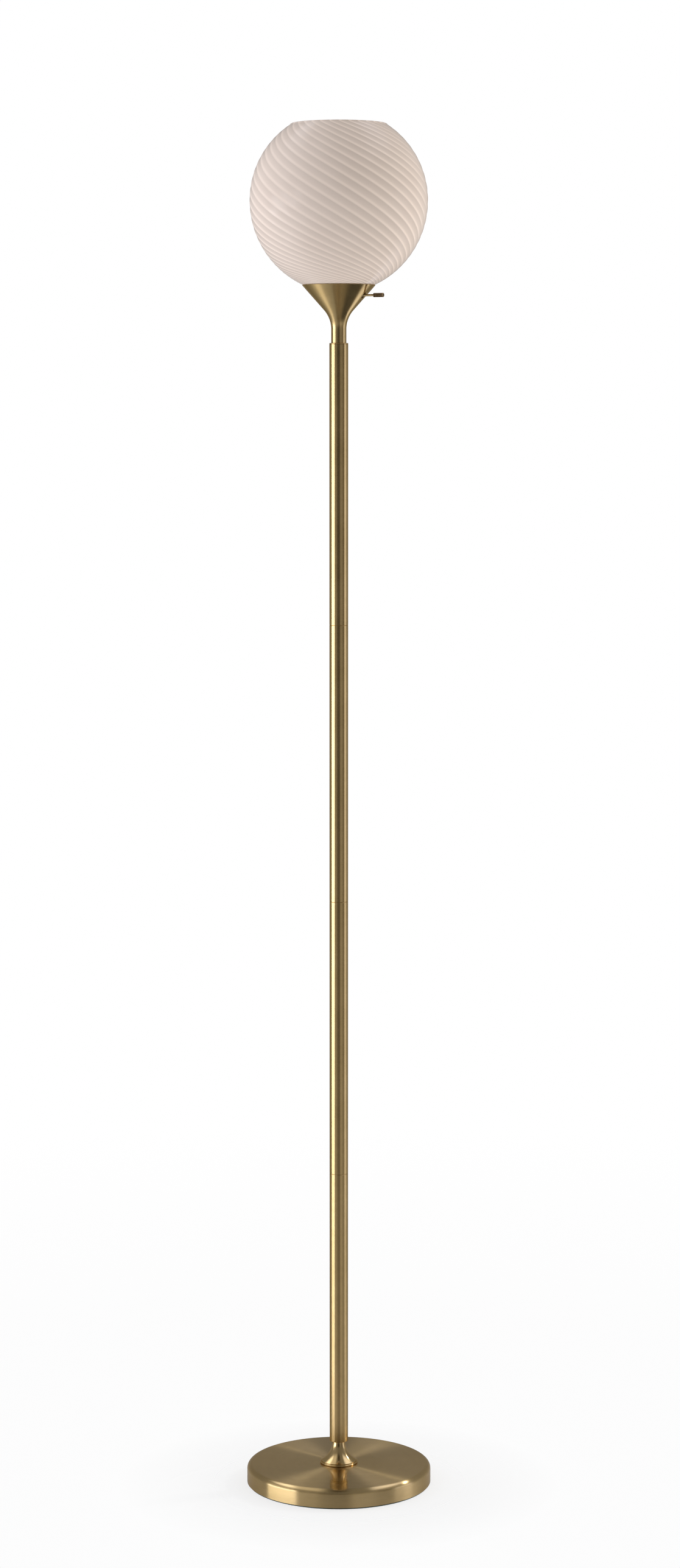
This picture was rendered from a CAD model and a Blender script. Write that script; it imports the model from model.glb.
import bpy
import math
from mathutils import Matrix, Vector


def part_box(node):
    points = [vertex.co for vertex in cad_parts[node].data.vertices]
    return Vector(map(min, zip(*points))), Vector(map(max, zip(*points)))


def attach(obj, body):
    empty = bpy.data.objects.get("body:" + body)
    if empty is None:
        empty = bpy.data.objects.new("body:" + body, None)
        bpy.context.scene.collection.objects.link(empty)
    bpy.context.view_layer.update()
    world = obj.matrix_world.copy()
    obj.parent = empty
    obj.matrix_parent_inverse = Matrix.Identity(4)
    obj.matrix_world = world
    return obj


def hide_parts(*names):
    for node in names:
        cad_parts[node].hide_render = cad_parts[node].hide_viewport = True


# Torchiere floor lamp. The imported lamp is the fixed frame; the seen pieces get finer shapes and finishes.
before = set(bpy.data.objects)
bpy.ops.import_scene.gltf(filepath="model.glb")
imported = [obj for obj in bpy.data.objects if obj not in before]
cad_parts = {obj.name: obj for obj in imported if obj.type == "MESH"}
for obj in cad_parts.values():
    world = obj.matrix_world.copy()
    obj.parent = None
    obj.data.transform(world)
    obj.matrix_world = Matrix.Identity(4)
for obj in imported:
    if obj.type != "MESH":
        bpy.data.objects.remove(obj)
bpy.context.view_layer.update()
print("frame loaded:", len(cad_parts), "nodes")


class Wire:
    # a shader socket that adds its own Math nodes
    def __init__(self, shop, socket):
        self.shop = shop
        self.socket = socket

    def math(self, operation, *others):
        return self.shop.node("ShaderNodeMath", {"operation": operation}, dict(enumerate((self,) + others)))

    def __add__(self, other):
        return self.math("ADD", other)

    __radd__ = __add__

    def __mul__(self, other):
        return self.math("MULTIPLY", other)

    __rmul__ = __mul__

    def __sub__(self, other):
        return self.math("SUBTRACT", other)

    def __rsub__(self, other):
        return self.shop.node("ShaderNodeMath", {"operation": "SUBTRACT"}, {0: other, 1: self})

    def __truediv__(self, other):
        return self.math("DIVIDE", other)

    def __pow__(self, other):
        return self.math("POWER", other)

    def clamped(self):
        return self.shop.node("ShaderNodeClamp", {}, {"Value": self})

    def clampedTo(self, low, high):
        return self.shop.node("ShaderNodeClamp", {}, {"Value": self, "Min": low, "Max": high})


class Shop:
    # builds one material, or the nodes of a world, wire by wire
    def __init__(self, name, world=None):
        self.material = world or bpy.data.materials.new(name)
        self.material.use_nodes = True
        self.tree = self.material.node_tree
        self.tree.nodes.clear()

    def node(self, kind, settings=None, inputs=None, output=0):
        made = self.tree.nodes.new(kind)
        for key, value in (settings or {}).items():
            if key == "stops":
                ramp = made.color_ramp
                while len(ramp.elements) > 1:
                    ramp.elements.remove(ramp.elements[-1])
                for k, (place, colour) in enumerate(value):
                    stop = ramp.elements[0] if k == 0 else ramp.elements.new(place)
                    stop.position = place
                    stop.color = tuple(colour) + (1,)
            else:
                setattr(made, key, value)
        for key, value in (inputs or {}).items():
            if isinstance(value, Wire):
                self.tree.links.new(value.socket, made.inputs[key])
            else:
                made.inputs[key].default_value = value
        return Wire(self, made.outputs[output]) if len(made.outputs) else None

    def place(self):
        return self.node("ShaderNodeTexCoord", {}, {}, "Object")

    def axes(self, vector):
        split = self.node("ShaderNodeSeparateXYZ", {}, {"Vector": vector}).socket.node
        return [Wire(self, split.outputs[k]) for k in range(3)]

    def joined(self, x, y, z):
        return self.node("ShaderNodeCombineXYZ", {}, {"X": x, "Y": y, "Z": z})

    def stretched(self, vector, scale):
        return self.node("ShaderNodeVectorMath", {"operation": "MULTIPLY"}, {0: vector, 1: scale})

    def scaled(self, vector, size):
        return self.node("ShaderNodeVectorMath", {"operation": "SCALE"}, {0: vector, "Scale": size})

    def added(self, first, second):
        return self.node("ShaderNodeVectorMath", {"operation": "ADD"}, {0: first, 1: second})

    def noise(self, vector, scale, detail=3, roughness=0.55):
        return self.node("ShaderNodeTexNoise", {},
                         {"Vector": vector, "Scale": scale, "Detail": detail, "Roughness": roughness})

    def ramp(self, value, stops):
        return self.node("ShaderNodeValToRGB", {"stops": stops}, {"Fac": value})

    def mix(self, factor, first, second, blend="MIX"):
        return self.node("ShaderNodeMix", {"data_type": "RGBA", "blend_type": blend},
                         {0: factor, 6: first, 7: second}, 2)

    def mapped(self, value, low, high, toLow, toHigh):
        return self.node("ShaderNodeMapRange", {}, {"Value": value, 1: low, 2: high, 3: toLow, 4: toHigh})

    def bump(self, height, strength, distance):
        return self.node("ShaderNodeBump", {}, {"Height": height, "Strength": strength, "Distance": distance})

    def surface(self, inputs):
        shader = self.node("ShaderNodeBsdfPrincipled", {}, inputs)
        self.node("ShaderNodeOutputMaterial", {}, {"Surface": shader})
        return self.material


def arc(centreX, centreZ, radius, start, end, count):
    # points of an arc in a section, angles in degrees from the outward axis towards up
    found = []
    for k in range(count + 1):
        turn = math.radians(start + (end - start) * k / count)
        found.append((centreX + radius * math.cos(turn), centreZ + radius * math.sin(turn)))
    return found


def addObject(name, points, faces, smoothAngle=32):
    mesh = bpy.data.meshes.new(name)
    mesh.from_pydata(points, [], faces)
    mesh.validate()
    mesh.shade_smooth()
    mesh.set_sharp_from_angle(angle=math.radians(smoothAngle))
    made = bpy.data.objects.new(name, mesh)
    bpy.context.scene.collection.objects.link(made)
    return made


def spun(name, section, steps, smoothAngle=32):
    # turns a closed section of (radius, height) points about the pole's axis
    points = []
    faces = []
    rows = len(section)
    for k in range(steps):
        turn = 2 * math.pi * k / steps
        for radius, height in section:
            points.append((radius * math.cos(turn), radius * math.sin(turn), height))
    for k in range(steps):
        here = k * rows
        there = ((k + 1) % steps) * rows
        for j in range(rows):
            after = (j + 1) % rows
            faces.append((here + j, there + j, there + after, here + after))
    return addObject(name, points, faces, smoothAngle)


def cutWith(target, cutter):
    # subtracts the cutter and forgets it
    bite = target.modifiers.new("bite", "BOOLEAN")
    bite.operation = "DIFFERENCE"
    bite.solver = "EXACT"
    bite.object = cutter
    bpy.context.view_layer.update()
    cut = bpy.data.meshes.new_from_object(target.evaluated_get(bpy.context.evaluated_depsgraph_get()))
    target.modifiers.clear()
    target.data = cut
    cut.shade_smooth()
    cut.set_sharp_from_angle(angle=math.radians(32))
    bpy.data.objects.remove(cutter)


def rodAlong(name, start, direction, radius, length, steps=48):
    # a plain closed rod, only used as a cutter
    side = direction.orthogonal().normalized()
    other = direction.cross(side).normalized()
    points = []
    for far in (0, length):
        for k in range(steps):
            turn = 2 * math.pi * k / steps
            points.append(start + direction * far + side * (radius * math.cos(turn))
                          + other * (radius * math.sin(turn)))
    faces = [(k, (k + 1) % steps, (k + 1) % steps + steps, k + steps) for k in range(steps)]
    faces += [tuple(reversed(range(steps))), tuple(range(steps, 2 * steps))]
    return addObject(name, [tuple(p) for p in points], faces)


def fitted(piece, body, slot, material, *nodes):
    piece.data.materials.clear()
    piece.data.materials.append(material)
    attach(piece, body)
    if nodes:
        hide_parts(*nodes)
    return piece


def spunPlace(shop, spread):
    # place on a spun sheet: the direction from the axis, and the way along the section in millimetres
    x, y, z = shop.axes(shop.place())
    radius = (x * x + y * y + 1e-8) ** 0.5
    return shop.joined(x / radius * spread, y / radius * spread, (radius - z) * 1000.0)


brassGloss = (1.0, 0.84, 0.58, 1)   # the edge tint of brass


def platedBrass(name, look):
    # antique brass plating over steel: fine turned lines, cloudy tone, darker flecks and a clear lacquer
    shop = Shop(name)
    along = spunPlace(shop, look["lineSpread"])
    lines = shop.noise(shop.stretched(along, (1, 1, look["linesPerMm"])), 1.0, 2, 0.6)
    broad = shop.noise(shop.stretched(along, (0.6, 0.6, look["linesPerMm"] * 0.12)), 1.0, 3, 0.6)
    cloud = shop.noise(shop.place(), look["cloudScale"], 4, 0.6)
    fleck = shop.mapped(shop.noise(shop.place(), look["fleckScale"], 2, 0.5), 0.66, 0.8, 0.0, 1.0).clamped()
    tone = shop.mapped(cloud * 0.55 + broad * 0.3 + lines * 0.15, 0.36, 0.64, 0.0, 1.0).clamped()
    colour = shop.mix(tone, tuple(look["deep"]) + (1,), tuple(look["pale"]) + (1,))
    colour = shop.mix(fleck * look["fleck"], colour, tuple(look["stain"]) + (1,))
    rough = shop.mapped(lines * 0.6 + cloud * 0.4, 0.3, 0.7, look["roughLow"], look["roughHigh"])
    grooves = shop.bump(lines * 0.7 + broad * 0.3, look["groove"], 0.0002)
    return shop.surface({"Base Color": colour, "Metallic": 1.0, "Roughness": rough,
                         "Anisotropic": look["anisotropic"], "Anisotropic Rotation": 0.25,
                         "Specular Tint": brassGloss, "Coat Weight": look["coat"],
                         "Coat Roughness": look["coatRough"], "Coat IOR": 1.5, "Normal": grooves})


def plainMetal(name, tone, rough, scale, dirt=0.25):
    shop = Shop(name)
    cloud = shop.noise(shop.place(), scale, 4, 0.6)
    fine = shop.noise(shop.place(), scale * 9, 2, 0.6)
    dark = tuple(c * (1 - dirt) for c in tone) + (1,)
    colour = shop.mix(shop.mapped(cloud, 0.35, 0.65, 0, 1).clamped(), dark, tuple(tone) + (1,))
    worn = shop.mapped(fine, 0.3, 0.7, rough * 0.8, rough * 1.25)
    return shop.surface({"Base Color": colour, "Metallic": 1.0, "Roughness": worn,
                         "Normal": shop.bump(fine, 0.15, 0.0002)})


def moulding(name, tone, rough, scale=260, grain=0.1, lift=0.12):
    shop = Shop(name)
    cloud = shop.noise(shop.place(), scale * 0.12, 3, 0.6)
    fine = shop.noise(shop.place(), scale, 3, 0.6)
    pale = tuple(min(1, c * (1 + lift) + 0.004) for c in tone) + (1,)
    colour = shop.mix(shop.mapped(cloud, 0.35, 0.65, 0, 1).clamped(), tuple(tone) + (1,), pale)
    worn = shop.mapped(fine, 0.3, 0.7, rough * 0.85, min(1, rough * 1.15))
    return shop.surface({"Base Color": colour, "Roughness": worn, "Normal": shop.bump(fine, grain, 0.0003)})


def roughIron(name):
    shop = Shop(name)
    lumps = shop.noise(shop.place(), 90, 5, 0.65)
    rust = shop.mapped(shop.noise(shop.place(), 34, 4, 0.7), 0.56, 0.7, 0, 1).clamped()
    colour = shop.mix(rust * 0.6, (0.035, 0.035, 0.038, 1), (0.11, 0.05, 0.025, 1))
    worn = shop.mapped(lumps, 0.3, 0.7, 0.55, 0.85)
    return shop.surface({"Base Color": colour, "Metallic": 0.3, "Roughness": worn,
                         "Normal": shop.bump(lumps, 0.6, 0.001)})


def sponge(name):
    # closed-cell foam: small pores and a teal cast
    shop = Shop(name)
    cells = shop.node("ShaderNodeTexVoronoi", {}, {"Vector": shop.place(), "Scale": 900})
    cloud = shop.noise(shop.place(), 60, 3, 0.6)
    patches = shop.mapped(cloud, 0.35, 0.65, 0, 1).clamped()
    colour = shop.mix(patches, (0.012, 0.03, 0.026, 1), (0.022, 0.055, 0.047, 1))
    rough = shop.mapped(cells, 0, 0.6, 0.95, 0.7)
    return shop.surface({"Base Color": colour, "Roughness": rough, "Normal": shop.bump(cells, 0.5, 0.0004)})


base = {
    "edgeRadius": 0.007,      # round top edge of the cover
    "coverWall": 0.0009,
    "pipeHole": 0.0052,
    "bushingHole": 0.0051,
    "bushingReach": 0.02,     # how far inside the edge the bushing's hole starts
    "padRound": 0.0006,
    "padCentre": 0.0005,
    "finish": {"deep": (0.55, 0.39, 0.17), "pale": (0.64, 0.46, 0.215),
               "stain": (0.3, 0.2, 0.1), "fleck": 0.25,
               "lineSpread": 5.0, "linesPerMm": 1.6, "cloudScale": 12, "fleckScale": 420, "groove": 0.05,
               "roughLow": 0.22, "roughHigh": 0.27, "anisotropic": 1.0, "coat": 0.55, "coatRough": 0.03},
}


def makeBase():
    low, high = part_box("base_cover")
    outer = high.x
    edge = base["edgeRadius"]
    wall = base["coverWall"]
    section = [(outer, low.z + 0.0003), (outer, high.z - edge)]
    section += arc(outer - edge, high.z - edge, edge, 8, 90, 12)
    section += [(base["pipeHole"] + 0.0003, high.z), (base["pipeHole"], high.z - 0.0003)]
    section += [(base["pipeHole"], high.z - wall + 0.0001), (base["pipeHole"] + 0.0001, high.z - wall)]
    section += arc(outer - edge, high.z - edge, edge - wall, 90, 8, 8)
    section += [(outer - wall, low.z + 0.0002), (outer - wall + 0.0002, low.z), (outer - 0.0003, low.z)]
    cover = spun("baseCover", section, 288)
    bushLow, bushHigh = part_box("cord_bushing")
    middle = (bushLow + bushHigh) / 2
    reach = base["bushingReach"]
    start = Vector((middle.x, outer - reach, middle.z))
    cutWith(cover, rodAlong("bushingCut", start, Vector((0, 1, 0)), base["bushingHole"], 2 * reach))
    fitted(cover, "lamp", "satin_brass", platedBrass("turnedAntiqueBrass", base["finish"]), "base_cover")
    low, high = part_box("base_pad")
    radius = high.x
    soft = base["padRound"]
    centre = base["padCentre"]
    section = [(centre, 0.0), (radius - soft, 0.0)] + arc(radius - soft, soft, soft, -80, 0, 4)
    section += arc(radius - soft, high.z - soft, soft, 0, 90, 5) + [(centre, high.z)]
    pad = spun("basePad", section, 192)
    fitted(pad, "lamp", "pad", sponge("padFoam"), "base_pad")
    print("base made")


collar = {
    "topRadius": 0.0083,
    "lipHeight": 0.0026,
    "lipStep": 0.0011,        # from the lip in to the sweep
    "sweepShare": 1.075,      # the sweep's radius over its height
    "hole": 0.0052,
    "boreStep": 0.0245,       # height of the step where the pipe's hole begins
    "topWall": 0.001,
    "shellWall": 0.0016,
    "shellStart": 18,         # degrees down the sweep to the hollow's top
    "lipWidth": 0.0025,
    "sweepSteps": 36,
    "shellSteps": 18,
    "finish": {"deep": (0.56, 0.395, 0.175), "pale": (0.66, 0.47, 0.22),
               "stain": (0.3, 0.2, 0.1), "fleck": 0.15,
               "lineSpread": 4.0, "linesPerMm": 2.0, "cloudScale": 45, "fleckScale": 500, "groove": 0.03,
               "roughLow": 0.16, "roughHigh": 0.2, "anisotropic": 0.8, "coat": 0.3, "coatRough": 0.06},
}


def makeCollar():
    low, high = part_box("base_collar")
    lip = collar["lipHeight"]
    lipRound = lip / 2
    sweepHeight = high.z - low.z - lip
    sweep = sweepHeight * collar["sweepShare"]
    centreX = collar["topRadius"] + sweep
    footX = high.x - collar["lipStep"]
    # the sweep runs from the top, where it is upright, down to the groove over the lip
    last = math.degrees(math.acos((centreX - footX) / sweep))
    section = [(high.x - lipRound, low.z)] + arc(high.x - lipRound, low.z + lipRound, lipRound, -80, 90, 12)
    section += [(footX + 0.0001, low.z + lip)]
    steps = collar["sweepSteps"]
    section += [(centreX - sweep * math.cos(math.radians(a)), high.z - sweep * math.sin(math.radians(a)))
                for a in [last * (1 - k / steps) for k in range(steps)]]
    section += [(collar["topRadius"], high.z - 0.0002), (collar["topRadius"] - 0.0002, high.z)]
    hole = collar["hole"]
    step = low.z + collar["boreStep"]
    section += [(hole, high.z), (hole, step), (collar["topRadius"] - collar["topWall"], step)]
    under = sweep + collar["shellWall"]
    first = collar["shellStart"]
    steps = collar["shellSteps"]
    section += [(centreX - under * math.cos(math.radians(a)), high.z - under * math.sin(math.radians(a)))
                for a in [first + (last - first) * k / steps for k in range(steps - 1)]]
    section += [(footX - collar["lipWidth"], low.z + lip), (footX - collar["lipWidth"], low.z)]
    piece = spun("flaredCollar", section, 160, 40)
    polished = platedBrass("polishedAntiqueBrass", collar["finish"])
    fitted(piece, "lamp", "polished_brass", polished, "base_collar")
    print("collar made")


pole = {
    "wall": 0.001,
    "seamBevel": 0.00035,
    "footRound": 0.0007,      # the lowest tube's rolled foot
    "flangeHole": 0.0052,
    "flangePlug": 0.01135,    # radius of the bush inside the tube
    "flangeHeight": 0.00145,
    "flangeRound": 0.00072,
    "finish": {"deep": (0.56, 0.395, 0.175), "pale": (0.66, 0.47, 0.22),
               "stain": (0.3, 0.2, 0.1), "fleck": 0.2,
               "lineSpread": 3.0, "linesPerMm": 1.2, "cloudScale": 22, "fleckScale": 380, "groove": 0.012,
               "roughLow": 0.17, "roughHigh": 0.21, "anisotropic": 1.0, "coat": 0.15, "coatRough": 0.07},
}


def makePole():
    brushed = platedBrass("brushedAntiqueBrass", pole["finish"])
    for k in (1, 2, 3, 4):
        node = "pole_tube_%d" % k
        low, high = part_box(node)
        outer = high.x
        inner = outer - pole["wall"]
        bevel = pole["seamBevel"]
        foot = pole["footRound"] if k == 1 else bevel
        section = [(outer - bevel, low.z), (outer, low.z + bevel)]
        if k == 1:
            section = arc(outer - foot, low.z + foot, foot, -80, 0, 6)
        for share in (0.25, 0.5, 0.75):
            section.append((outer, low.z + (high.z - low.z) * share))
        section += [(outer, high.z - bevel), (outer - bevel, high.z), (inner, high.z), (inner, low.z)]
        tube = spun("poleTube%d" % k, section, 128)
        fitted(tube, "lamp", "brushed_brass", brushed, node)
    low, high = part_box("pole_top_bush")
    outer = high.x
    hole = pole["flangeHole"]
    plug = pole["flangePlug"]
    rounding = pole["flangeRound"]
    under = high.z - pole["flangeHeight"] - 0.0001
    section = [(hole, low.z), (plug, low.z), (plug, under), (outer, under)]
    section += arc(outer - rounding, high.z - rounding, rounding, 0, 90, 7) + [(hole, high.z)]
    top = spun("poleTopFlange", section, 128)
    fitted(top, "lamp", "brushed_brass", brushed, "pole_top_bush")
    print("pole made")


cup = {
    "neckRadius": 0.01005,
    "neckLength": 0.0179,
    "sweepRadius": 0.038,
    "coneAngle": 41.6,
    "wall": 0.001,
    "shaftHole": 0.004,
    "holeStart": 0.02,        # how far out along the shaft the hole's cut starts
    "holeLength": 0.05,
    "knobTurn": 23.0,         # degrees from +X towards -Y
    "finish": {"deep": (0.56, 0.40, 0.18), "pale": (0.65, 0.475, 0.225),
               "stain": (0.3, 0.2, 0.1), "fleck": 0.2,
               "lineSpread": 4.0, "linesPerMm": 1.5, "cloudScale": 30, "fleckScale": 420, "groove": 0.03,
               "roughLow": 0.19, "roughHigh": 0.24, "anisotropic": 0.95, "coat": 0.12, "coatRough": 0.08},
}


def shaftDirection():
    turn = math.radians(cup["knobTurn"])
    return Vector((math.cos(turn), -math.sin(turn), 0))


def shaftHeight():
    low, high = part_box("switch_shaft")
    return (low.z + high.z) / 2


def makeCup():
    low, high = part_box("cup")
    neck = cup["neckRadius"]
    sweep = cup["sweepRadius"]
    wall = cup["wall"]
    slant = math.radians(cup["coneAngle"])
    centreX = neck + sweep
    centreZ = low.z + cup["neckLength"]
    kneeX = centreX - sweep * math.cos(slant)
    kneeZ = centreZ + sweep * math.sin(slant)
    rimX = kneeX + (high.z - kneeZ) * math.tan(slant)
    level = wall / math.cos(slant)

    def swept(radius, first, last, count):
        points = []
        for k in range(count + 1):
            turn = slant * (first + (last - first) * k / count)
            points.append((centreX - radius * math.cos(turn), centreZ + radius * math.sin(turn)))
        return points

    section = [(neck - 0.0002, low.z), (neck, low.z + 0.0002), (neck, centreZ - 0.004)]
    section += swept(sweep, 0, 1, 28)
    for share in (0.35, 0.7):
        section.append((kneeX + (rimX - kneeX) * share, kneeZ + (high.z - kneeZ) * share))
    section += [(rimX - 0.0002, high.z - 0.00023), (rimX - 0.0003, high.z)]
    section += [(rimX - level + 0.0002, high.z), (rimX - level - 0.0001, high.z - 0.0002)]
    section += swept(sweep + wall, 1, 0, 20) + [(neck - wall, low.z + 0.0002), (neck - wall + 0.0002, low.z)]
    piece = spun("flaredCup", section, 224, 36)
    start = Vector((0, 0, shaftHeight())) + shaftDirection() * cup["holeStart"]
    cutWith(piece, rodAlong("shaftCut", start, shaftDirection(), cup["shaftHole"], cup["holeLength"]))
    fitted(piece, "lamp", "polished_brass", platedBrass("spunCupBrass", cup["finish"]), "cup")
    print("cup made")


knob = {
    "gripLength": 0.0145,
    "gripRadius": 0.0028,
    "teeth": 26,
    "knurl": 0.00022,         # depth of the knurl
    "knurlRows": 44,
    "knurlStart": 0.0021,
    "knurlEnd": 0.0018,
    "knurlLean": 1.2,
    "knurlLand": 0.62,        # share of a tooth that the cut reaches over
    "grooveDepth": 0.0003,
    "bevel": 0.0006,
    "dish": ((0.72, 0.0), (0.6, 0.00025), (0.3, 0.00035)),   # share of the end's radius, and how deep
}


def makeKnob():
    direction = shaftDirection()
    height = shaftHeight()
    side = Vector((-direction.y, direction.x, 0))
    up = Vector((0, 0, 1))
    low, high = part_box("switch_grip")
    reach = (high.x + low.x) / 2 / direction.x + knob["gripLength"] / 2
    start = reach - knob["gripLength"]
    # knurled grip: a plain collar, a groove, the knurl and a turned end
    length = knob["gripLength"]
    full = knob["gripRadius"]
    bevel = knob["bevel"]
    groove = full - knob["grooveDepth"]
    first = knob["knurlStart"]
    # each station: the way along, the radius, and whether it is knurled
    stations = [(0.0, full - bevel, 0), (bevel, full, 0), (0.0013, full, 0), (0.0014, groove, 0)]
    stations += [(0.0019, groove, 0), (0.0020, full, 0)]
    rows = knob["knurlRows"]
    for k in range(rows + 1):
        stations.append((first + (length - first - knob["knurlEnd"]) * k / rows, full, 1))
    stations += [(length - 0.0017, full, 0), (length - bevel, full, 0)]
    stations += [(length - bevel * 0.3, full - bevel * 0.7, 0), (length, full - bevel * 1.2, 0)]
    around = knob["teeth"] * 6
    points = []
    faces = []
    for far, radius, knurled in stations:
        for k in range(around):
            turn = 2 * math.pi * k / around
            depth = 0.0
            if knurled:
                lean = (far - first) / (2 * math.pi * full) * knob["teeth"] * knob["knurlLean"]
                right = abs(((turn / (2 * math.pi) * knob["teeth"] + lean) % 1) - 0.5) * 2
                left = abs(((turn / (2 * math.pi) * knob["teeth"] - lean) % 1) - 0.5) * 2
                nearest = min(right, left)
                if nearest < knob["knurlLand"]:
                    depth = knob["knurl"] * (1 - nearest * 1.6)
            r = radius - max(0.0, depth)
            spot = (direction * (start + far) + side * (r * math.cos(turn))
                    + up * (height + r * math.sin(turn)))
            points.append(tuple(spot))
    for j in range(len(stations) - 1):
        for k in range(around):
            after = (k + 1) % around
            below = j * around
            above = (j + 1) * around
            faces.append((below + k, below + after, above + after, above + k))
    last = (len(stations) - 1) * around
    # a shallow dished end
    dish = len(points)
    inner = full - bevel * 1.2
    for share, sunk in knob["dish"]:
        for k in range(around):
            turn = 2 * math.pi * k / around
            r = inner * share
            points.append(tuple(direction * (reach - sunk) + side * (r * math.cos(turn))
                                + up * (height + r * math.sin(turn))))
    rings = [last, dish, dish + around, dish + 2 * around]
    for a, b in zip(rings, rings[1:]):
        for k in range(around):
            after = (k + 1) % around
            faces.append((a + k, a + after, b + after, b + k))
    points.append(tuple(direction * (reach - knob["dish"][-1][1]) + up * height))
    middle = len(points) - 1
    for k in range(around):
        faces.append((rings[-1] + k, rings[-1] + (k + 1) % around, middle))
    # closed on the inside by the socket that the shaft fills
    points.append(tuple(direction * start + up * height))
    back = len(points) - 1
    for k in range(around):
        faces.append(((k + 1) % around, k, back))
    grip = addObject("knurledGrip", points, faces, 28)
    fitted(grip, "switch_knob", "dark_brass", darkKnurl("darkKnurledBrass"), "switch_grip")
    print("knob made")


def darkKnurl(name):
    shop = Shop(name)
    point = shop.node("ShaderNodeNewGeometry", {}, {}, "Pointiness")
    worn = shop.mapped(point, 0.49, 0.54, 0, 1).clamped()
    cloud = shop.noise(shop.place(), 500, 3, 0.6)
    colour = shop.mix(worn * 0.8, (0.13, 0.085, 0.045, 1), (0.46, 0.33, 0.18, 1))
    colour = shop.mix(shop.mapped(cloud, 0.4, 0.7, 0, 0.4).clamped(), colour, (0.09, 0.06, 0.035, 1))
    rough = shop.mapped(cloud, 0.3, 0.7, 0.3, 0.45)
    return shop.surface({"Base Color": colour, "Metallic": 1.0, "Roughness": rough})


globe = {
    "wall": 0.003,
    "lowerShift": 0.0037,     # how far off the axis the lower half's arc is centred, beyond it
    "holeRadius": 0.021,
    "flutes": 32,
    "fluteDepth": 0.00042,
    "fluteCurl": 0.35,
    "twist": 0.79,            # degrees a millimetre at the widest circle
    "twistUp": 1.55,
    "twistDown": 2.5,
    "start": 1.9,             # degrees from the front to a flute's crest
    "samples": 18,            # columns across a flute
    "outerRows": 170,
    "innerRows": 60,
    "lipHeight": 0.0016,
    "lipRows": 9,
    "plainLip": 0.0010,       # the flutes end this far under the top
    "fadeLip": 0.0015,
    "fadeFoot": 0.004,
}


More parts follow.
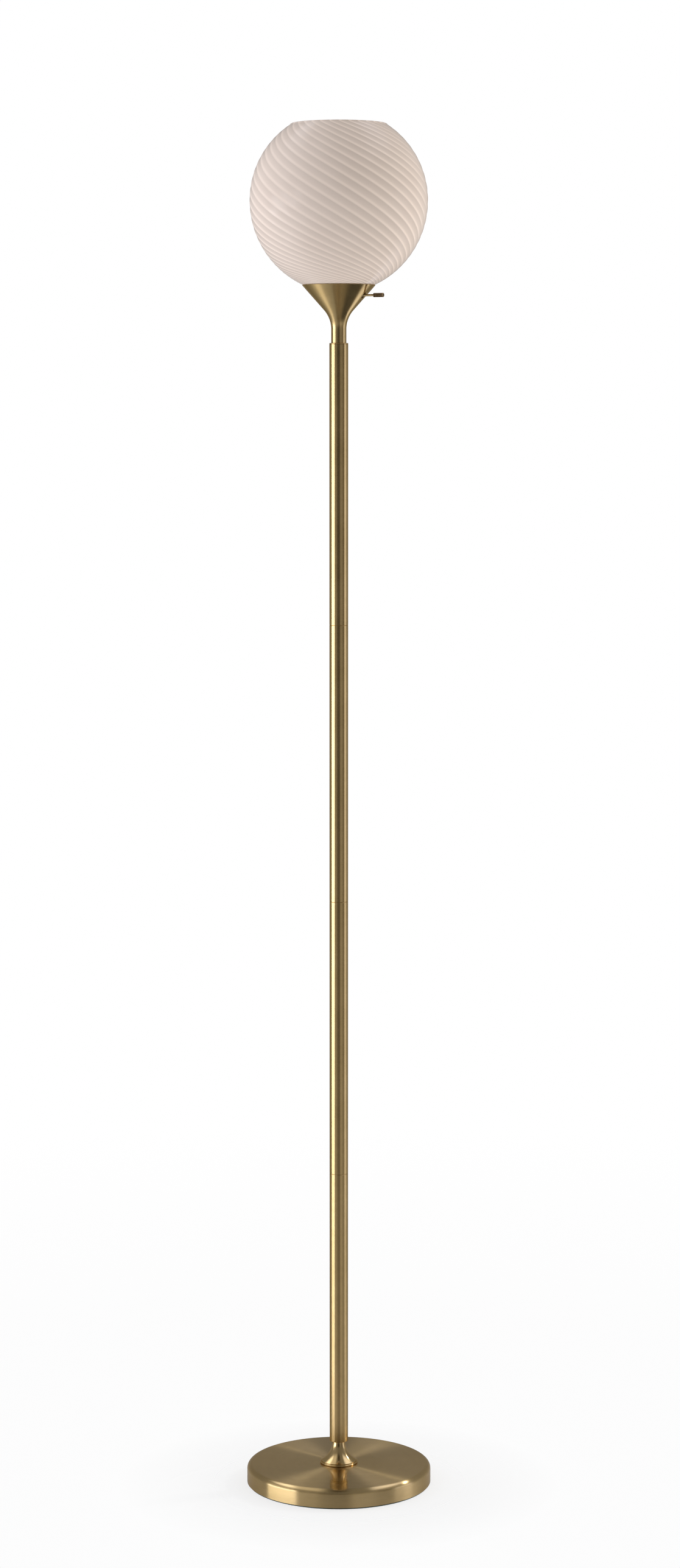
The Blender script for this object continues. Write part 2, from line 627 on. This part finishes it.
def makeGlobe():
    low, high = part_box("glass_globe")
    widest = high.x
    shift = globe["lowerShift"]
    drop = widest + shift
    wall = globe["wall"]
    centre = low.z + math.sqrt(drop ** 2 - (globe["holeRadius"] + shift) ** 2)
    flutes = globe["flutes"]
    columns = flutes * globe["samples"]

    def outside(z):
        if z >= centre:
            return math.sqrt(max(widest ** 2 - (z - centre) ** 2, 0))
        return math.sqrt(max(drop ** 2 - (centre - z) ** 2, 0)) - shift

    # heights of the outer rows, evenly along the arc
    rows = []
    first = -math.degrees(math.acos((globe["holeRadius"] + shift) / drop))
    lastTurn = math.degrees(math.asin((high.z - globe["lipHeight"] - centre) / widest))
    count = globe["outerRows"]
    for k in range(count + 1):
        turn = math.radians(first + (lastTurn - first) * k / count)
        rows.append(centre + (widest if turn >= 0 else drop) * math.sin(turn))
    rows[0] = low.z + 0.0006
    # the twist builds up faster where the glass is narrower
    twisted = [0.0]
    for a, b in zip(rows, rows[1:]):
        middle = (a + b) / 2
        power = globe["twistUp"] if middle > centre else globe["twistDown"]
        rate = globe["twist"] * (widest / outside(middle)) ** power
        twisted.append(twisted[-1] - rate * (b - a) * 1000)
    level = min(range(len(rows)), key=lambda k: abs(rows[k] - centre))
    zero = twisted[level]
    twisted = [t - zero for t in twisted]
    curl = globe["fluteCurl"]
    full = 1 - math.exp(-1 / curl)
    valley = -curl * math.log(curl * full)
    deepest = (1 - math.exp(-valley / curl)) / full - valley
    points = []
    shade = []
    for z, turned in zip(rows, twisted):
        radius = outside(z)
        ends = min(1.0, (high.z - globe["plainLip"] - z) / globe["fadeLip"], (z - low.z) / globe["fadeFoot"])
        for k in range(columns):
            phi = 360.0 * k / columns
            # flute position: 0 on its crest, 1 on the next one
            spot = (k / globe["samples"]) % 1.0
            dip = (1 - math.exp(-spot / curl)) / full - spot
            depth = dip * globe["fluteDepth"] / deepest * (radius / widest) * max(0.0, ends)
            turn = math.radians(globe["start"] + turned + phi)
            r = radius - depth
            points.append((r * math.sin(turn), -r * math.cos(turn), z))
            shade.append(spot)
    # lip: melted round, then down the plain inside
    lipRows = []
    outLip = outside(rows[-1])
    inLip = math.sqrt((widest - wall) ** 2 - (rows[-1] - centre) ** 2)
    lipMiddle = (outLip + inLip) / 2
    lipWide = (outLip - inLip) / 2
    for k in range(1, globe["lipRows"]):
        a = math.pi * k / globe["lipRows"]
        lipRows.append((lipMiddle + lipWide * math.cos(a), rows[-1] + globe["lipHeight"] * math.sin(a)))
    inner = []
    for k in range(globe["innerRows"]):
        turn = math.radians(lastTurn + (first - lastTurn) * k / (globe["innerRows"] - 1))
        z = centre + ((widest if turn >= 0 else drop) - wall) * math.sin(turn)
        if z >= centre:
            r = math.sqrt((widest - wall) ** 2 - (z - centre) ** 2)
        else:
            r = math.sqrt((drop - wall) ** 2 - (centre - z) ** 2) - shift
        if r > globe["holeRadius"] + 0.0002 and z < rows[-1]:
            inner.append((r, z))
    inner.append((globe["holeRadius"], inner[-1][1] - 0.0002))
    turnEnd = twisted[-1]
    for r, z in lipRows + inner:
        for k in range(columns):
            turn = math.radians(globe["start"] + turnEnd + 360.0 * k / columns)
            points.append((r * math.sin(turn), -r * math.cos(turn), z))
            shade.append((k / globe["samples"]) % 1.0)
    total = len(points) // columns
    faces = []
    for j in range(total - 1):
        here = j * columns
        there = (j + 1) * columns
        for k in range(columns):
            side = (k + 1) % columns
            faces.append((here + k, here + side, there + side, there + k))
    # the hole's edge joins the first row, which is turned by the whole twist
    offset = round((twisted[0] - turnEnd) / 360.0 * columns)
    lastRow = (total - 1) * columns
    for k in range(columns):
        a = lastRow + (k + offset) % columns
        b = lastRow + (k + 1 + offset) % columns
        faces.append((a, b, (k + 1) % columns, k))
    piece = addObject("swirlGlobe", points, faces, 70)
    layer = piece.data.attributes.new("flute", "FLOAT_COLOR", "POINT")
    values = []
    for k, s in enumerate(shade):
        outer = 1.0 if k < (len(rows) + 5) * columns else 0.0
        values += [s, outer, 0.0, 1.0]
    layer.data.foreach_set("color", values)
    fitted(piece, "lamp", "opal_glass", opalGlass("creamOpalGlass"), "glass_globe")
    print("globe made:", len(points), "points")


opal = {
    "cream": (0.73, 0.62, 0.54),
    "shade": (0.70, 0.59, 0.51),
    # how pale the glass is across a flute, from its crest to the next
    "across": [(0.0, 0.98), (0.05, 1.16), (0.14, 1.18), (0.22, 1.14), (0.32, 1.05), (0.42, 1.0),
               (0.6, 0.965), (0.82, 0.92), (0.95, 0.91), (1.0, 0.98)],
    "inside": (0.8, 0.75, 0.69),
    "glow": (0.95, 0.84, 0.74),   # daylight that soaks through to the inside
    "glowPower": 0.5,
}


def opalGlass(name):
    shop = Shop(name)
    flute = shop.node("ShaderNodeAttribute", {"attribute_name": "flute"}, {}, "Color")
    spot, outer, _ = shop.axes(flute)
    line = shop.ramp(spot, [(place, (pale / 2,) * 3) for place, pale in opal["across"]])
    line = (line - 0.5) * 2 * outer + 1
    cloud = shop.noise(shop.place(), 9, 4, 0.55)
    seeds = shop.mapped(shop.noise(shop.place(), 240, 2, 0.5), 0.68, 0.78, 0, 1).clamped()
    patches = shop.mapped(cloud, 0.35, 0.65, 0, 1).clamped()
    colour = shop.mix(patches, tuple(opal["shade"]) + (1,), tuple(opal["cream"]) + (1,))
    colour = shop.mix(seeds * 0.1, colour, (0.85, 0.76, 0.66, 1))
    colour = shop.mix(outer, tuple(opal["inside"]) + (1,), colour)
    colour = shop.stretched(colour, shop.joined(line, line, line))
    ripple = shop.noise(shop.place(), 30, 2, 0.5)
    glow = shop.mix(outer, tuple(opal["glow"]) + (1,), (0, 0, 0, 1))
    rough = shop.mapped(cloud, 0.3, 0.7, 0.12, 0.2)
    return shop.surface({"Base Color": colour, "Roughness": rough, "IOR": 1.5, "Specular IOR Level": 0.12,
                         "Emission Color": glow, "Emission Strength": opal["glowPower"],
                         "Normal": shop.bump(ripple, 0.05, 0.002)})


makeBase()
makeCollar()
makePole()
makeCup()
makeKnob()
makeGlobe()


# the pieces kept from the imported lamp
kept = {
    "base_weight": roughIron("castIron"),
    "cord_bushing": moulding("blackBushing", (0.018, 0.018, 0.02), 0.38, 900),
    "switch_shaft": plainMetal("turnedBrassRod", (0.72, 0.54, 0.28), 0.22, 300, 0.12),
}
zinc = plainMetal("zincPlate", (0.62, 0.62, 0.6), 0.35, 160)
contactBrass = plainMetal("pressedBrass", (0.72, 0.55, 0.28), 0.28, 200)
phenolic = moulding("blackPhenolic", (0.02, 0.018, 0.017), 0.42, 700)
for node in ("base_nut", "base_lock_washer", "base_washer", "base_pipe", "head_pipe", "neck_plug",
             "neck_sleeve", "tube_bush_1", "tube_bush_2", "tube_bush_3", "tube_bush_4",
             "tube_stud_1", "tube_stud_2", "tube_stud_3"):
    kept[node] = zinc
for node in ("terminal_screws", "screw_shell", "centre_contact", "switch_contact"):
    kept[node] = contactBrass
for node in ("holder_cap", "holder_body", "glass_ring"):
    kept[node] = phenolic
kept["glass_gasket"] = moulding("siliconeGasket", (0.62, 0.6, 0.56), 0.6, 500)
kept["switch_rotor"] = moulding("rotorFibre", (0.25, 0.07, 0.03), 0.6, 500)
kept["line_lead"] = moulding("blackLead", (0.02, 0.02, 0.02), 0.4, 800)
kept["neutral_lead"] = moulding("whiteLead", (0.75, 0.74, 0.7), 0.4, 800)
kept["splice_caps"] = moulding("tanSplice", (0.6, 0.5, 0.3), 0.45, 700)
kept["bulb_tip"] = plainMetal("solderTip", (0.6, 0.6, 0.58), 0.3, 500)
kept["bulb_insulator"] = moulding("bulbInsulator", (0.02, 0.02, 0.025), 0.15, 400)
kept["bulb_cap"] = plainMetal("nickelCap", (0.66, 0.65, 0.62), 0.25, 220)
kept["bulb_housing"] = moulding("whiteHousing", (0.78, 0.77, 0.74), 0.4, 500, 0.05)
kept["bulb_dome"] = moulding("frostedDome", (0.84, 0.83, 0.8), 0.5, 900, 0.05)
kept["bulb_driver"] = moulding("driverBoard", (0.03, 0.16, 0.06), 0.35, 400)
kept["led_board"] = moulding("ledBoard", (0.8, 0.8, 0.78), 0.4, 400)
kept["led_chips"] = moulding("phosphorGel", (0.8, 0.6, 0.12), 0.35, 600)
for node, finish in kept.items():
    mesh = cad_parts[node].data
    mesh.materials.clear()
    mesh.materials.append(finish)
print("kept pieces finished:", len(kept))


# tints of what gloss sees: the room's warm dark, window light and open sky
brown = (1.12, 0.98, 0.78)
cool = (1, 1.03, 1.2)
sky = (1, 1.03, 1.12)
studio = {
    "floorRadius": 2.6,
    "floorRings": (0.4, 0.8, 1.4, 2.0),
    "floorDrop": 0.0003,
    "floorSteps": 96,
    "floorAlpha": 0.08,
    "floorNear": 0.28,        # how solid the floor is right round the base
    "floorGlow": 0.02,
    # what gloss sees, as stripes that follow the lamp's round surfaces: degrees round from the front,
    # radiance and sometimes a tint. From below (the cup), low down (the base's side), level (the pole),
    # high (the base's top) and overhead (the round edge and the collar's foot)
    "below": [(-180, 0.25), (-90, 0.22), (-66, 0.19), (-52, 0.33), (-45, 0.6), (-39, 1.08), (-34, 1.0),
              (-28, 0.54), (-21, 0.41), (-13, 0.31), (-9, 0.17, brown), (7, 0.17, brown),
              (12, 0.14, brown), (17, 0.05, brown), (22, 0.012, brown), (37, 0.012, brown),
              (42, 0.08, brown), (47, 0.95, cool), (54, 1.15, cool), (59, 0.5, cool), (65, 0.2),
              (90, 0.22), (180, 0.25)],
    "low": [(-180, 0.22), (-90, 0.2), (-62, 0.22), (-50, 0.28), (-43, 0.42), (-37, 0.68, cool),
            (-31, 0.86, cool), (-26.5, 0.86, cool), (-25, 0.66), (-18, 0.62), (-12, 0.6), (-7, 0.56),
            (-2, 0.42), (4, 0.34), (7, 0.5), (11, 0.82), (19, 0.84), (22, 0.66), (30, 0.6), (37, 0.52),
            (44, 0.56), (49, 0.55), (56, 0.36), (63, 0.22), (90, 0.2), (180, 0.22)],
    "level": [(-180, 0.27), (-56, 0.3), (-24, 0.31), (-14, 0.25), (-11, 0.06, brown), (-7, 0.01, brown),
              (3, 0.01, brown), (6.5, 0.08, brown), (9.5, 0.24), (22, 0.27), (26, 0.11, brown),
              (32, 0.1, brown), (35.5, 0.3), (38, 1.0, cool), (50, 1.0, cool), (53, 0.33), (90, 0.27),
              (180, 0.27)],
    "strip": [(-180, 0), (-50, 0), (-48, 3.9, sky), (-28, 3.9, sky), (-26, 0), (180, 0)],
    "high": [(-180, 0.25), (-90, 0.24), (-56, 0.25), (-44, 0.28), (-30, 0.29), (-12, 0.26), (-6, 0.22),
             (4, 0.22), (12, 0.24), (28, 0.24), (36, 0.28), (48, 0.29), (58, 0.25), (100, 0.24),
             (118, 0.29), (135, 0.26), (180, 0.25)],
    "over": [(-180, 0.25), (-90, 0.22), (-56, 0.24), (-48, 1.6, sky), (-43, 2.5, sky), (-32, 2.3, sky),
             (-26, 0.9), (-13, 0.8), (-8, 0.3), (-3, 0.05, brown), (3, 0.05, brown), (7, 0.24),
             (19, 0.27), (23, 1.2, cool), (30, 1.5, cool), (50, 1.7, cool), (57, 0.3), (75, 0.24),
             (180, 0.25)],
    # the even light on matt surfaces, with its tint
    "around": [(-180, 0.25, (1, 1, 1)), (-125, 0.6, (1, 1.01, 1.06)), (-90, 1.0, (1, 1.02, 1.1)),
               (-55, 0.72, (1, 1.02, 1.1)), (-25, 0.32, (1, 1, 1.03)), (0, 0.12, (1, 0.97, 0.93)),
               (25, 0.03, (1, 0.95, 0.84)), (60, 0.55, (1, 0.97, 0.93)), (100, 1.15, (1, 0.99, 1)),
               (140, 0.8, (1, 1, 1)), (180, 0.25, (1, 1, 1))],
    # the heights between which each set of stripes takes over, and its share below and above them
    "bands": {"low": (-0.25, -0.2, 1.0, 0.0), "below": (-0.5, -0.32, 1.0, 0.0),
              "high": (0.1, 0.22, 0.0, 1.0), "over": (0.66, 0.8, 0.0, 1.0)},
    "fanReach": 0.985,        # turns a mirrored direction into the turn of the surface that mirrors it
    "stripPower": 1.2,
    "rampTop": 4.0,           # radiance at a ramp's full value
    "even": 0.16,
    "fromBelow": 0.15,
    "softPower": 1.68,
    "kickerPower": 22,
    "kickerTurn": 110,
    "kickerRise": 40,
    "kickerFar": 1.9,
    "kickerSpread": 11,
    "kickerBlend": 0.5,
    "kickerSize": 0.05,
    "kickerAim": 0.02,        # height that it points at
    "cameraHeight": 1.442,
    "cameraBack": 4.618,
    "cameraTilt": 5.98,
    "cameraSide": 0.0016,
    "lens": 79.67,
}


def makeFloor():
    radius = studio["floorRadius"]
    rings = studio["floorRings"] + (radius,)
    level = -studio["floorDrop"]
    points = [(0, 0, level)]
    faces = []
    steps = studio["floorSteps"]
    for ring in rings:
        for k in range(steps):
            turn = 2 * math.pi * k / steps
            points.append((ring * math.cos(turn), ring * math.sin(turn), level))
    for k in range(steps):
        after = (k + 1) % steps
        faces.append((0, 1 + k, 1 + after))
        for j in range(len(rings) - 1):
            a = 1 + j * steps
            faces.append((a + k, a + steps + k, a + steps + after, a + after))
    floor = addObject("paleFloor", points, faces)
    shop = Shop("palePaint")
    x, y, _ = shop.axes(shop.place())
    away = (x * x + y * y) ** 0.5
    grain = shop.noise(shop.place(), 40, 3, 0.5)
    colour = shop.mix(grain * 0.3, (0.86, 0.86, 0.855, 1), (0.9, 0.9, 0.895, 1))
    near = shop.mapped(away, 0.17, 0.3, studio["floorNear"] - studio["floorAlpha"], 0.0).clamped()
    fade = shop.mapped(away, 0.9, radius - 0.2, studio["floorAlpha"], 0.0).clamped() + near
    paint = shop.surface({"Base Color": colour, "Roughness": 0.75, "Specular IOR Level": 0.1, "Alpha": fade,
                          "Emission Color": (1, 1, 1, 1), "Emission Strength": studio["floorGlow"]})
    floor.data.materials.append(paint)


def kicker():
    # a small lamp high on the right, aimed at the base only
    lamp = bpy.data.lights.new("kicker", "SPOT")
    lamp.spot_size = math.radians(studio["kickerSpread"])
    lamp.spot_blend = studio["kickerBlend"]
    lamp.shadow_soft_size = studio["kickerSize"]
    lamp.energy = studio["kickerPower"]
    holder = bpy.data.objects.new("kicker", lamp)
    bpy.context.scene.collection.objects.link(holder)
    turn = math.radians(studio["kickerTurn"])
    rise = math.radians(studio["kickerRise"])
    way = Vector((math.sin(turn) * math.cos(rise), -math.cos(turn) * math.cos(rise), math.sin(rise)))
    spot = way * studio["kickerFar"]
    aim = Vector((0, 0, studio["kickerAim"]))
    holder.location = spot
    holder.rotation_euler = (aim - spot).to_track_quat("-Z", "Y").to_euler()


def turnStops(values):
    # (degrees, radiance, tint) as the stops of a ramp over the whole turn; no tint means white
    stops = []
    for turn, level, *tint in values:
        colour = tint[0] if tint else (1, 1, 1)
        stops.append((0.5 + turn / 360, tuple(level / studio["rampTop"] * c for c in colour)))
    return stops


def makeSky():
    # the camera sees plain white; gloss sees soft panels in a grey tent, and matt surfaces their even light
    world = bpy.data.worlds.new("studio")
    bpy.context.scene.world = world
    shop = Shop("studio", world)
    x, y, z = shop.axes(shop.node("ShaderNodeTexCoord", {}, {}, "Generated"))
    rays = shop.node("ShaderNodeLightPath").socket.node
    toCamera = Wire(shop, rays.outputs["Is Camera Ray"])
    glossy = Wire(shop, rays.outputs["Is Glossy Ray"])
    turn = x.math("ARCTAN2", y * -1) / (2 * math.pi) + 0.5
    fan = x.math("ARCTAN2", studio["fanReach"] - y) / (2 * math.pi) + 0.5
    sets = ("below", "low", "level", "strip", "high", "over")
    stripes = {key: shop.ramp(fan, turnStops(studio[key])) for key in sets}
    # the bright strip is seen only by surfaces that look out level or a little down
    top = studio["stripPower"]
    reach = shop.mapped(z, 0.02, 0.08, top, 0.0).clampedTo(0, top)
    reach = reach * shop.mapped(z, -0.24, -0.16, 0.0, 1.0).clamped()
    mirror = shop.added(stripes["level"], shop.scaled(stripes["strip"], reach))
    for key, band in studio["bands"].items():
        mirror = shop.mix(shop.mapped(z, *band).clamped(), mirror, stripes[key])
    around = shop.ramp(turn, turnStops(studio["around"]))
    soft = shop.added(shop.scaled(around, (1 - z * z) ** 0.5), (studio["even"] / studio["rampTop"],) * 3)
    soft = shop.scaled(soft, (1 - z * studio["fromBelow"]) * studio["softPower"])
    light = shop.scaled(shop.mix(glossy, soft, mirror), studio["rampTop"])
    seen = shop.mix(toCamera, light, (1, 1, 1, 1))
    paint = shop.node("ShaderNodeBackground", {}, {"Color": seen, "Strength": 1.0})
    shop.node("ShaderNodeOutputWorld", {}, {"Surface": paint})


def makeCamera():
    lens = bpy.data.cameras.new("view")
    lens.sensor_width = 36
    lens.lens = studio["lens"]
    lens.clip_end = 50
    camera = bpy.data.objects.new("view", lens)
    bpy.context.scene.collection.objects.link(camera)
    camera.location = (studio["cameraSide"], -studio["cameraBack"], studio["cameraHeight"])
    camera.rotation_euler = (math.radians(90 - studio["cameraTilt"]), 0, 0)
    bpy.context.scene.camera = camera


makeFloor()
kicker()
makeSky()
makeCamera()
bpy.context.scene.view_settings.view_transform = "Standard"
bpy.context.scene.view_settings.look = "None"
print("studio made")

bpy.context.view_layer.update()
